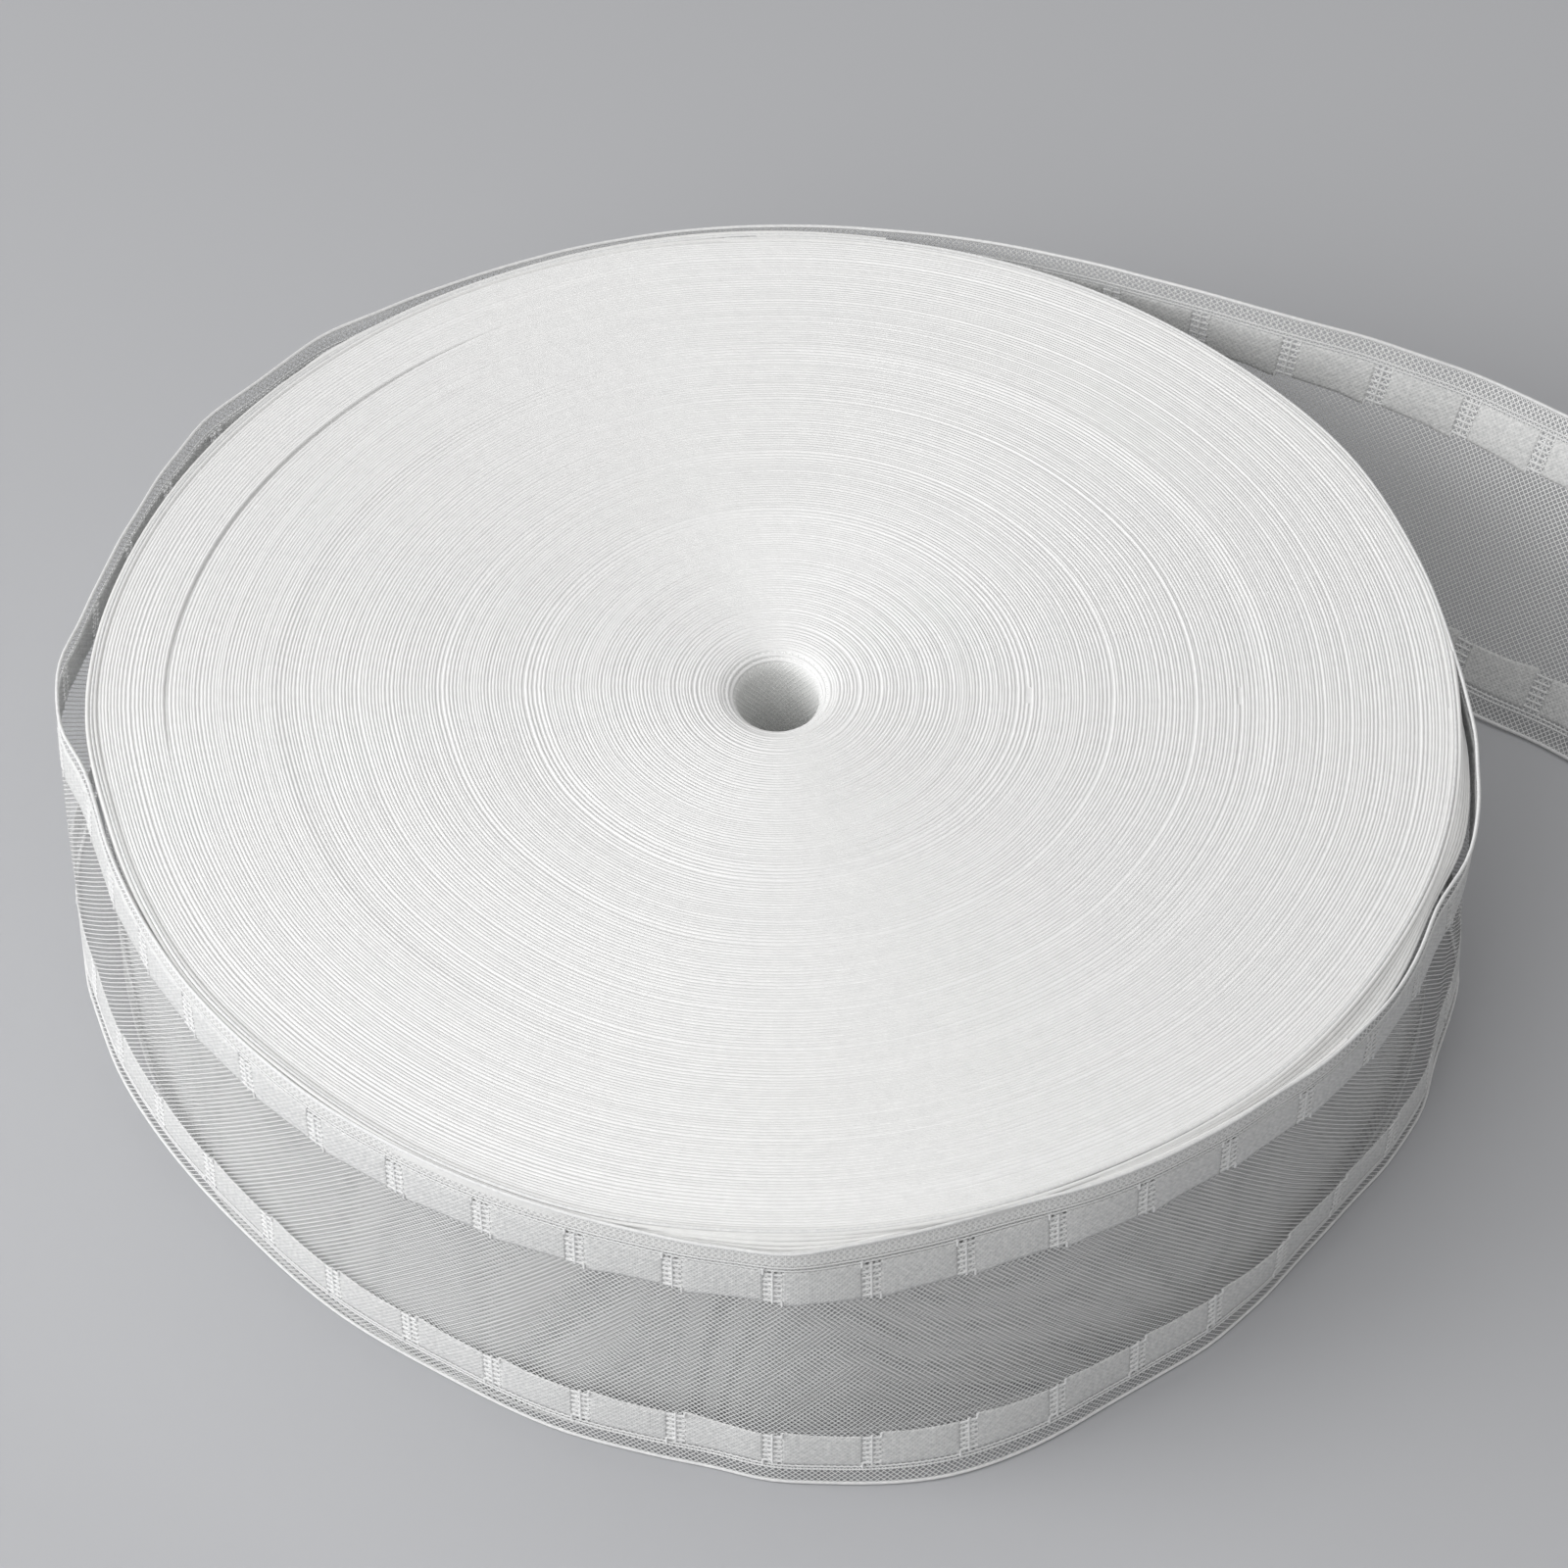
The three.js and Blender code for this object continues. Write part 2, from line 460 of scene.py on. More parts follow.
@dataclass(frozen=True)
class WoundFinish(Finish):
    """The tape's selvedges packed edge to edge: white, faintly clouded where turns lie tighter.

    Attributes:
        warm: the colour of its clouds.
        cloud_scale: how small they are, in waves a metre.
        fibre_scale: how fine its fibres are, in waves a metre.
        fibre_range: between which values of their noise the shade comes in.
        dust: the greatest share of the shade.
        relief: how deep the fibres are, in mm.
    """

    warm: str = "#F1F1F0"
    cloud_scale: float = 14.0
    fibre_scale: float = 420.0
    fibre_range: tuple[float, float] = (0.35, 0.8)
    dust: float = 0.35
    relief: float = 0.03

    def make(self) -> bpy.types.Material:
        """Returns the wound turns' material."""
        material, tree, shader = self.start()
        place = add_node(tree, "ShaderNodeTexCoord").outputs["Object"]
        clouds = noise(tree, place, self.cloud_scale, detail=3.0)
        fibres = noise(tree, place, self.fibre_scale)
        base = blend(tree, clouds, linear(self.colour), linear(self.warm))
        dusted = remap(tree, fibres, self.fibre_range, (0.0, self.dust))
        mixed = blend(tree, dusted, base, linear(self.shade))
        tree.links.new(mixed, shader.inputs["Base Color"])
        self.bump(tree, shader, fibres, self.relief)
        return material


@dataclass(frozen=True)
class WallFinish(Finish):
    """Net laid on net many times over: a hatched white whose open meshes are tinted greyer, partly the
    layered net's own grey and partly painted shade.

    Attributes:
        pitch: from thread to thread of the hatching, in mm.
        thread: a thread's width, in mm.
        relief: how deep the weave is, in mm.
    """

    pitch: float = 1.7
    thread: float = 0.4
    relief: float = 0.2

    def make(self) -> bpy.types.Material:
        """Returns the material of the roll's wall and of the core's hole."""
        material, tree, shader = self.start()
        _, along, across = tape_place(tree)
        hatch = diamonds(tree, along, across, self.pitch, self.thread)
        # painted shade: the open meshes are tinted grey, partly the layered net's own grey
        self.tint(tree, shader, remap(tree, hatch, (0.0, 1.0), (1.0, 0.0)))
        self.bump(tree, shader, hatch, self.relief)
        return material


NET = NetFinish(
    "polyester monofilament net, leno woven", "#F7F7F6", "#BCBEBF", roughness=0.5, sheen=0.2
)
POCKETS = PocketFinish(
    "polyester yarn, satin woven pockets", "#F0F0EF", "#CBCCCC", roughness=0.6, sheen=0.2
)
CORDS = CordFinish(
    "polyester yarn, laid selvedge cord", "#F6F6F5", "#D6D7D8", roughness=0.6, sheen=0.3
)
PACKED_TURNS = WoundFinish(
    "polyester selvedges, wound edge on", "#F2F2F2", "#E3E3E3", roughness=0.75, sheen=0.1
)
# SLACK_TURNS_PAINTED_SHADE is a darker copy of PACKED_TURNS: painted shade on the low outer turns,
# where less light comes through from behind.
SLACK_TURNS_PAINTED_SHADE = WoundFinish(
    "polyester selvedges, slack outer turns",
    "#ECECEB",
    "#DCDCDB",
    roughness=0.75,
    sheen=0.1,
    warm="#EBEBEA",
)
# WALL's open meshes are tinted grey: partly the layered net's own grey, partly painted shade.
WALL = WallFinish(
    "polyester net, wound in many layers", "#F2F2F2", "#BDBFC0", roughness=0.7, sheen=0.2
)
# CORE_PAINTED_LIGHT is a lighter copy of WALL for the hole and the underside: painted light for the
# light that comes through the white roll.
CORE_PAINTED_LIGHT = WallFinish(
    "polyester net, innermost turns", "#FEFEFD", "#ECEDEC", roughness=0.7, sheen=0.2
)


# The tape's route, the same as its solid's


def catmull(points: Sequence[Vector], share: float) -> Vector:
    """A point on the centripetal Catmull-Rom curve through the points.

    Args:
        points: what the curve passes through.
        share: 0 at the first point and 1 at the last.

    Returns:
        The point.
    """
    spans = len(points) - 1
    whole = min(int(share * spans), spans - 1)
    t = share * spans - whole
    p1, p2 = points[whole], points[whole + 1]
    p0 = points[whole - 1] if whole else 2 * p1 - p2
    p3 = points[whole + 2] if whole + 2 <= spans else 2 * p2 - p1
    d0, d1, d2 = (math.sqrt((b - a).length) for a, b in ((p0, p1), (p1, p2), (p2, p3)))
    leave = ((p1 - p0) / d0 - (p2 - p0) / (d0 + d1) + (p2 - p1) / d1) * d1
    reach = ((p2 - p1) / d1 - (p3 - p1) / (d1 + d2) + (p3 - p2) / d2) * d1
    bend = 3 * (p2 - p1) - 2 * leave - reach
    curl = 2 * (p1 - p2) + leave + reach
    return p1 + leave * t + bend * t**2 + curl * t**3


@dataclass(frozen=True)
class Turn:
    """Where a loose turn stands.

    Attributes:
        angle: in degrees round the roll, counted down from the tape's inner end.
        top: radius of its upper selvedge there, in mm.
        low: radius of its lower selvedge, in mm.
    """

    angle: float
    top: float
    low: float


@dataclass(frozen=True)
class Step:
    """Where the run-out end lies: its lower selvedge in mm, and its lean from upright in degrees."""

    x: float
    y: float
    lean: float


TURNS = [
    Turn(815, 154.1, 154.1),
    Turn(808, 154.1, 154.1),
    Turn(799, 154.1, 154.1),
    Turn(790, 154.1, 154.1),
    Turn(779, 154.2, 154.2),
    Turn(768, 154.4, 154.4),
    Turn(752, 155.4, 155.4),
    Turn(738, 155.8, 155.8),
    Turn(725, 156.1, 156.1),
    Turn(706, 156.9, 156.9),
    Turn(690, 156.9, 156.8),
    Turn(672, 157.3, 157.3),
    Turn(652, 156.5, 156.8),
    Turn(636, 157.1, 157.3),
    Turn(618, 157.0, 157.0),
    Turn(606, 156.2, 156.3),
    Turn(594, 155.3, 155.2),
    Turn(577, 155.6, 155.5),
    Turn(566, 155.4, 155.6),
    Turn(555, 155.6, 156.4),
    Turn(543, 158.0, 158.2),
    Turn(530, 158.2, 159.4),
    Turn(515, 157.4, 157.4),
    Turn(500, 156.3, 156.1),
    Turn(485, 155.8, 155.6),
    Turn(472, 155.2, 155.2),
    Turn(459, 155.1, 155.1),
    Turn(446, 155.1, 155.1),
    Turn(432, 155.2, 155.2),
    Turn(418, 155.3, 155.3),
    Turn(403, 155.6, 155.6),
    Turn(389, 157.2, 156.6),
    Turn(375, 156.8, 158.0),
    Turn(363, 157.8, 161.0),
    Turn(353, 161.2, 164.0),
    Turn(344, 163.4, 162.4),
    Turn(336, 161.8, 163.0),
    Turn(327, 163.6, 159.6),
    Turn(318, 162.7, 159.2),
    Turn(309, 160.9, 161.2),
    Turn(297, 159.6, 163.4),
    Turn(287, 157.9, 168.0),
    Turn(280, 159.4, 168.8),
    Turn(271, 162.9, 165.8),
    Turn(262, 160.0, 161.9),
    Turn(252, 158.2, 159.6),
    Turn(241, 157.2, 156.4),
    Turn(230, 157.0, 156.2),
    Turn(217, 157.2, 156.6),
    Turn(207, 157.6, 159.6),
    Turn(198, 158.2, 163.2),
    Turn(190, 159.6, 165.6),
    Turn(184, 165.0, 167.4),
    Turn(177, 166.2, 171.0),
    Turn(168, 163.4, 172.0),
    Turn(158, 163.0, 169.0),
    Turn(149, 164.6, 165.4),
    Turn(141, 162.4, 163.6),
    Turn(134, 163.0, 161.6),
    Turn(123, 159.4, 159.8),
    Turn(112, 158.5, 158.8),
    Turn(101, 158.2, 158.2),
    Turn(90, 158.4, 158.2),
    Turn(78, 159.4, 158.4),
    Turn(69, 161.8, 158.6),
]

LAP = 360.0
POCKETS_SHOW_FROM = 555.0  # further in than this angle the rows of pockets don't show
WHOLE_TURN_TO = 446.0  # from the first row to this angle the tape goes once round
FRONT_FROM, FRONT_TO = 327.0, 203.0  # between these angles the outer turn is at the front

RUN_OUT = [
    Step(76, 139.5, 4),
    Step(96.5, 125.5, 9),
    Step(113, 112, 15),
    Step(130, 98.5, 22),
    Step(150, 82.5, 30),
    Step(172.5, 65.2, 32),
    Step(196, 49, 34),
    Step(219, 27, 42),
    Step(243, 3, 56),
    Step(272, -22, 72),
    Step(304, -46, 84),
]


@dataclass(frozen=True)
class Wave:
    """A small wave of the cloth: its height in mm, and its turn in radians for each mm of tape."""

    height: float
    along: float
    across: float
    start: float = 0.0

    def at(self, along: float, across: float) -> float:
        """Returns how far out the wave pushes the cloth at a place of the tape, in mm."""
        return self.height * math.sin(along * self.along + across * self.across + self.start)


POCKET_PITCH = 22.0  # from pocket to pocket, in mm
SAG = Wave(0.7, 0.047, 0.0, 1.3)  # the middle of the net, out and in
RIPPLES = (
    Wave(0.12, math.tau / POCKET_PITCH, 0.02),  # each pocket pulls the net beside it a little
    Wave(0.28, 0.11, 0.05),
    Wave(0.168, 0.19, -0.07),
)


@dataclass
class TapeRoute:
    """The way of the loose tape, from its inner end to its cut end.

    Attributes:
        turns: the loose turns, from the inside out.
        run_out: the end that lies on the table.
        samples: how finely each stretch between two rows is divided.
        lift: how far the middle of the tape stays above the table when it lies flat, in mm.
        least: the least height of anything above the table, in mm.
        near: how far away on either side the tape's direction is measured, in mm.
        free_from: the radius from which the tape stands free of the roll, in mm.
        free_over: over how many mm it gets fully free.
        lower: the points of the lower selvedge, in mm from the roll's axis.
        upper: the same for the upper one.
        run: how far along the tape each of them lies, in mm.
    """

    turns: list[Turn]
    run_out: list[Step]
    samples: int = 12
    lift: float = 0.8
    least: float = 0.1
    near: float = 1.5
    free_from: float = 157.5
    free_over: float = 4.0
    lower: list[Vector] = field(default_factory=list)
    upper: list[Vector] = field(default_factory=list)
    run: list[float] = field(default_factory=list)

    def __post_init__(self) -> None:
        """Traces both selvedges and measures the lower one."""
        low = [self.turned(row.low, row.angle, 0.0) for row in self.turns]
        rises = [math.sqrt(TAPE_WIDTH**2 - (row.top - row.low) ** 2) for row in self.turns]
        top = [self.turned(row.top, row.angle, up) for row, up in zip(self.turns, rises)]
        ground = [Vector((row.x, row.y, 0.0)) for row in self.run_out]
        path = [low[-1], *ground]
        for i, row in enumerate(self.run_out):
            share, nearby = (i + 1) / len(ground), 1e-4
            ahead = catmull(path, min(share + nearby, 1.0)) - catmull(path, share - nearby)
            back = Vector((-ahead.y, ahead.x, 0.0)).normalized()
            lean = math.radians(row.lean)
            rise = Vector((0.0, 0.0, TAPE_WIDTH * math.cos(lean)))
            low.append(ground[i])
            top.append(ground[i] + back * TAPE_WIDTH * math.sin(lean) + rise)
        count = self.samples * (len(low) - 1)
        self.lower = [catmull(low, i / count) for i in range(count + 1)]
        self.upper = [catmull(top, i / count) for i in range(count + 1)]
        self.run = [0.0]
        for a, b in zip(self.lower, self.lower[1:]):
            self.run.append(self.run[-1] + (b - a).length)

    @staticmethod
    def off_angle(point: Vector, angle: float) -> float:
        """Returns how many degrees a point lies round the axis from an angle, from -180 to 180."""
        return (math.degrees(math.atan2(point.y, point.x)) - angle + LAP / 2) % LAP - LAP / 2

    @staticmethod
    def turned(radius: float, angle: float, height: float) -> Vector:
        """Returns the point at a radius, an angle in degrees and a height, from the roll's axis."""
        a = math.radians(angle)
        return Vector((radius * math.cos(a), radius * math.sin(a), height))

    def along_turn(self, angle: float) -> float:
        """Returns how far along the tape the row of turns with this angle stands, in mm."""
        row = next(i for i, turn in enumerate(self.turns) if turn.angle <= angle)
        return self.run[row * self.samples]

    def top_radius(self, angle: float) -> float:
        """Returns the radius in mm of the upper selvedge at an angle counted as in TURNS."""
        final = len(self.turns) - 1
        row = next((i for i, turn in enumerate(self.turns) if turn.angle <= angle), final)
        stretch = range(max(row - 2, 0) * self.samples, min(row + 1, final) * self.samples + 1)
        points = [self.upper[i] for i in stretch]
        near = [(self.off_angle(point, angle), math.hypot(point.x, point.y)) for point in points]
        for (a, before), (b, after) in zip(near, near[1:]):
            if b <= 0 <= a and a > b:
                return before + (after - before) * a / (a - b)
        return min(near, key=lambda place: abs(place[0]))[1]

    def room(self, degrees: float) -> float:
        """Returns the radius in mm that is free inside the innermost turn at an angle."""
        turn = self.samples * sum(1 for row in self.turns if row.angle > WHOLE_TURN_TO)
        reach = 3.0
        return min(
            math.hypot(point.x, point.y)
            for point in self.lower[:turn] + self.upper[:turn]
            if abs(self.off_angle(point, degrees)) <= reach
        )

    @property
    def length(self) -> float:
        """The tape's length along its lower selvedge, in mm."""
        return self.run[-1]

    def station(self, along: float) -> tuple[Vector, Vector]:
        """Both selvedges at one place of the tape.

        Args:
            along: millimetres from the inner end.

        Returns:
            The points of the lower and of the upper selvedge.
        """
        along = min(max(along, 0.0), self.length)
        low, high = 0, len(self.run) - 1
        while high - low > 1:
            middle = (low + high) // 2
            low, high = (middle, high) if self.run[middle] <= along else (low, middle)
        share = (along - self.run[low]) / (self.run[high] - self.run[low])
        return (
            self.lower[low].lerp(self.lower[high], share),
            self.upper[low].lerp(self.upper[high], share),
        )

    def looseness(self, along: float) -> float:
        """How free the tape stands here: 0 against the roll and 1 well clear of it."""
        low, top = self.station(along)
        clear = min(math.hypot(p.x, p.y) for p in (low, top)) - self.free_from
        return min(max(clear / self.free_over, 0.0), 1.0)

    def at(self, along: float, across: float, off: float) -> Vector:
        """Bends a point of the flat tape onto its route.

        Args:
            along: millimetres from the inner end.
            across: millimetres from the lower selvedge.
            off: millimetres outwards from the middle of the cloth.

        Returns:
            The point in the frame, in metres.
        """
        low, top = self.station(along)
        up = (top - low).normalized()
        before, after = self.station(along - self.near), self.station(along + self.near)
        ahead = (after[0] + after[1]) - (before[0] + before[1])
        outward = up.cross(ahead).normalized()
        ripple = self.ripple(along, across)
        point = low + up * across + outward * (off + ripple)
        point.z += abs(outward.z) * self.lift
        return Vector((point.x + AXIS_X, point.y + AXIS_Y, max(point.z, self.least))) * MM

    def ripple(self, along: float, across: float) -> float:
        """Returns the height of the cloth's waves, in mm, where the tape stands free."""
        sag = SAG.at(along, across) * math.sin(across * math.pi / TAPE_WIDTH)
        return self.looseness(along) * (sag + sum(wave.at(along, across) for wave in RIPPLES))


# Meshes


def put(name: str, data: bpy.types.ID) -> bpy.types.Object:
    """Puts a new object with this data in the scene and returns it."""
    made = bpy.data.objects.new(name, data)
    bpy.context.collection.objects.link(made)
    return made


def finished(
    name: str, mesh: bpy.types.Mesh, material: bpy.types.Material
) -> bpy.types.Object:
    """Puts a mesh in the scene as a piece of the roll.

    Args:
        name: the piece's name.
        mesh: its mesh, in metres in the frame.
        material: what it is made of.

    Returns:
        The piece.
    """
    piece = put(name, mesh)
    if not mesh.materials:
        mesh.materials.append(material)
    mesh.shade_smooth()
    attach(piece, BODY)
    log.info("%s: %d faces", name, len(mesh.polygons))
    return piece


def mesh_of(
    name: str,
    points: Sequence[Vector],
    faces: Sequence[Sequence[int]],
    flat: Sequence[tuple[float, float]] | None = None,
) -> bpy.types.Mesh:
    """Makes a mesh, with the tape's own millimetres as its map where they are given.

    Args:
        name: the mesh's name.
        points: its vertices.
        faces: its faces.
        flat: for each vertex, millimetres along and across the tape.

    Returns:
        The mesh.
    """
    mesh = bpy.data.meshes.new(name)
    mesh.from_pydata([tuple(p) for p in points], [], [tuple(f) for f in faces])
    if flat:
        layer = mesh.uv_layers.new(name=FLAT_MAP)
        for loop in mesh.loops:
            layer.data[loop.index].uv = flat[loop.vertex_index]
    mesh.update()
    return mesh


def smooth(share: float) -> float:
    """Returns the share eased at both ends."""
    share = min(max(share, 0.0), 1.0)
    return share * share * (3 - 2 * share)


PAD_END = 0.1  # share of a pad's length over which it thins to its ends
PAD_SIDE = 0.18  # share of its breadth over which it thins to its sides
PAD_COLUMNS = (0.0, 0.035, PAD_END, 0.35, 0.65, 1 - PAD_END, 0.965, 1.0)
PAD_ROWS = (0.0, 0.07, PAD_SIDE, 0.5, 1 - PAD_SIDE, 0.93, 1.0)


class Patchwork:
    """Collects patches that are drawn flat on the tape, to be bent and joined into one mesh."""

    def __init__(self, route: TapeRoute) -> None:
        """Starts with no patch.

        Args:
            route: the tape's way.
        """
        self.route = route
        self.points: list[Vector] = []
        self.flat: list[tuple[float, float]] = []
        self.faces: list[tuple[int, ...]] = []

    def add_pad(
        self,
        place: Callable[[float, float], tuple[float, float]],
        thick: float,
        edge: float,
    ) -> None:
        """Adds one closed pad with a front, a back and a rim.

        Args:
            place: turns shares along and across the pad into millimetres on the tape.
            thick: the pad's thickness in its middle, in mm.
            edge: its thickness at its rim, in mm.
        """
        start = len(self.points)
        for side in (1, -1):
            for s in PAD_COLUMNS:
                for t in PAD_ROWS:
                    middle = smooth(min(s, 1 - s) / PAD_END) * smooth(min(t, 1 - t) / PAD_SIDE)
                    along, over = place(s, t)
                    off = side * (edge + (thick - edge) * middle) / 2
                    self.points.append(self.route.at(along, over, off))
                    self.flat.append((along, over))
        stride = len(PAD_ROWS)
        long, wide = len(PAD_COLUMNS) - 1, stride - 1
        back = start + len(PAD_COLUMNS) * stride
        for i in range(long):
            for j in range(wide):
                a = start + i * stride + j
                self.faces.append((a, a + 1, a + stride + 1, a + stride))
                b = back + i * stride + j
                self.faces.append((b, b + stride, b + stride + 1, b + 1))
        rim = [i * stride for i in range(long + 1)]
        rim += [long * stride + j for j in range(1, stride)]
        rim += [i * stride + wide for i in reversed(range(long))]
        rim += reversed(range(1, wide))
        for a, b in zip(rim, [*rim[1:], rim[0]]):
            self.faces.append((start + a, start + b, back + b, back + a))

    def mesh(self, name: str) -> bpy.types.Mesh:
        """Returns the joined mesh of all patches."""
        return mesh_of(name, self.points, self.faces, self.flat)


# Geometry Nodes


def node_group(name: str, inputs: dict[str, str]) -> bpy.types.NodeTree:
    """Starts a Geometry Nodes tree with named inputs.

    Args:
        name: the tree's name.
        inputs: input name to its socket type.

    Returns:
        The tree, with a geometry input and output.
    """
    tree = bpy.data.node_groups.new(name, "GeometryNodeTree")
    sockets = tree.interface
    for way in ("INPUT", "OUTPUT"):
        sockets.new_socket("Geometry", in_out=way, socket_type="NodeSocketGeometry")
    for label, kind in inputs.items():
        sockets.new_socket(label, in_out="INPUT", socket_type=kind)
    return tree


def run_nodes(
    source: bpy.types.Object, tree: bpy.types.NodeTree, values: dict[str, object], name: str
) -> bpy.types.Mesh:
    """Runs a tree on an object and keeps only the plain mesh that it makes.

    Args:
        source: the curve or mesh that the tree reads; it is deleted.
        tree: the Geometry Nodes tree.
        values: input name to value.
        name: the new mesh's name.

    Returns:
        The mesh.
    """
    modifier = source.modifiers.new("nodes", "NODES")
    modifier.node_group = tree
    for item in tree.interface.items_tree:
        if item.in_out == "INPUT" and item.name in values:
            modifier[item.identifier] = values[item.name]
    graph = bpy.context.evaluated_depsgraph_get()
    made = bpy.data.meshes.new_from_object(
        source.evaluated_get(graph), preserve_all_data_layers=True, depsgraph=graph
    )
    made.name = name
    source.modifiers.remove(modifier)
    bpy.data.objects.remove(source)
    return made


def thread_tree(name: str, from_edges: bool = False) -> bpy.types.NodeTree:
    """Makes the tree that sweeps a round thread along a path, or along each edge of a mesh.

    Args:
        name: the tree's name.
        from_edges: whether it reads the loose edges of a mesh, and not a curve.

    Returns:
        The tree, with inputs Radius, Sides and Finish.
    """
    kinds = {"Radius": "NodeSocketFloat", "Sides": "NodeSocketInt", "Finish": "NodeSocketMaterial"}
    tree = node_group(name, kinds)
    start = add_node(tree, "NodeGroupInput").outputs
    path = start["Geometry"]
    if from_edges:
        path = add_node(tree, "GeometryNodeMeshToCurve", links={"Mesh": path}).outputs["Curve"]
    links = {"Resolution": start["Sides"], "Radius": start["Radius"]}
    ring = add_node(tree, "GeometryNodeCurvePrimitiveCircle", links=links)
    links = {"Curve": path, "Profile Curve": ring.outputs["Curve"], "Fill Caps": True}
    swept = add_node(tree, "GeometryNodeCurveToMesh", links=links)
    links = {"Geometry": swept.outputs["Mesh"]}
    real = add_node(tree, "GeometryNodeRealizeInstances", links=links)
    links = {"Geometry": real.outputs["Geometry"], "Material": start["Finish"]}
    dressed = add_node(tree, "GeometryNodeSetMaterial", links=links)
    add_node(tree, "NodeGroupOutput", links={"Geometry": dressed.outputs["Geometry"]})
    return tree


def swept_piece(
    name: str,
    source: bpy.types.Object,
    tree: bpy.types.NodeTree,
    radius: float,
    finish: bpy.types.Material,
    sides: int = 6,
) -> bpy.types.Object:
    """Sweeps threads along an object's lines and puts them in the scene as one piece.

    Args:
        name: the piece's name.
        source: the curve or mesh with the lines; it is deleted.
        tree: the tree that sweeps.
        radius: of the threads, in mm.
        finish: their material.
        sides: how many sides a thread has.

    Returns:
        The piece.
    """
    values = {"Radius": radius * MM, "Sides": sides, "Finish": finish}
    return finished(name, run_nodes(source, tree, values, name), finish)


def path_object(name: str, lines: Iterable[Sequence[Vector]]) -> bpy.types.Object:
    """Makes a curve object of plain open lines.

    Args:
        name: its name.
        lines: the points of each line.

    Returns:
        The object, in the scene.
    """
    data = bpy.data.curves.new(name, "CURVE")
    data.dimensions = "3D"
    for points in lines:
        spline = data.splines.new("POLY")
        spline.points.add(len(points) - 1)
        for target, point in zip(spline.points, points):
            target.co = (*point, 1.0)
    return put(name, data)


# The wound part


@dataclass(frozen=True)
class Crest:
    """The height of the top face: share of the way from the hole to the rim, and height in mm."""

    out: float
    up: float


CRESTS = [
    Crest(0.0, 76.0),
    Crest(0.012, 77.8),
    Crest(0.03, 78.8),
    Crest(0.06, 79.3),
    Crest(0.1, 79.6),
    Crest(0.2, 79.7),
    Crest(0.3, 79.6),
    Crest(0.345, 79.5),
    Crest(0.4, 79.7),
    Crest(0.55, 79.8),
    Crest(0.7, 79.5),
    Crest(0.72, 79.8),
    Crest(0.97, 79.6),
    Crest(0.992, 79.7),
    Crest(1.0, 79.6),
]


@dataclass(frozen=True)
class Bundle:
    """A bundle of turns that were wound together.

    Attributes:
        name: the piece's name.
        start: share of the way out where it begins.
        end: where it ends.
        turns: how many turns it has.
        points: points on each turn.
    """

    name: str
    start: float
    end: float
    turns: int
    points: int


@dataclass(frozen=True)
class Unevenness:
    """How unevenly the turns of a bundle were wound.

    Attributes:
        width: the least and the greatest width of a turn, as shares of the usual one.
        gap_share: the share of turns with a gap after them.
        gap: how much wider those are.
        gap_from: the width from which a turn lies lower for its gap.
        rise: how far a turn lies below or above the top face, in mm.
        gap_drop: how much lower the ones with a gap lie, in mm.
        humps: how many times a turn may rise and fall on its way round.
        sway: how far it does so, in mm.
    """

    width: tuple[float, float] = (0.7, 1.3)
    gap_share: float = 0.1
    gap: float = 0.5
    gap_from: float = 1.35
    rise: tuple[float, float] = (-0.035, 0.02)
    gap_drop: float = 0.05
    humps: tuple[int, ...] = (1, 2, 3)
    sway: float = 0.03


@dataclass(frozen=True)
class LowTurns:
    """Turns that have slipped a little lower than the rest, between the two loose turns.

    Attributes:
        count: how many there are.
        height: of the innermost, in mm.
        step: how much lower each next one lies.
        inside: how far the first stays from the inner loose turn, in mm.
        outside: how far the last stays from the outer one, for some angles in degrees.
        start: the angle where they begin.
        end: where they end.
        wave: how far each one waves up and down, in mm.
        wave_turn: how far its wave turns for each degree, in radians.
        narrow: the angles between which one more fills the narrow room at the right.
        radius: of each one's cord, in mm.
        cell: degrees from point to point.
        taper: over how many degrees the turns close up at either end.
        stack: how many stand one below the other behind the net's edge at the front.
        stack_pitch: from one of them to the next, in mm.
        stack_off: how far they stay from the outer loose turn, in mm.
        stack_start: the angle where they begin, in degrees.
        stack_end: where they end.
    """

    count: int = 6
    height: float = 79.35
    step: float = 0.45
    inside: float = 0.9
    outside: tuple[tuple[float, float], ...] = (
        (80.0, 1.6),
        (110.0, 1.2),
        (125.0, 2.8),
        (160.0, 6.6),
        (190.0, 6.6),
        (215.0, 1.0),
        (318.0, 1.0),
        (330.0, 2.2),
        (345.0, 2.6),
        (366.0, 2.0),
    )
    start: float = 80.0
    end: float = 364.0
    wave: float = 0.2
    wave_turn: float = 1 / 7
    narrow: tuple[float, float] = (362.0, 452.0)
    radius: float = 0.56
    cell: float = 1.4
    taper: float = 11.0
    stack: int = 19
    stack_pitch: float = 0.85
    stack_off: float = 1.0
    stack_start: float = 208.0
    stack_end: float = 320.0

    def width(self, angle: float, free: float) -> float:
        """Returns how far the turns spread at an angle where that much room is free, in mm."""
        for (a, near), (b, far) in zip(self.outside, self.outside[1:]):
            if angle <= b:
                kept = near + (far - near) * smooth((angle - a) / (b - a))
                return max(free - self.inside - kept, 0.0)
        return 0.0


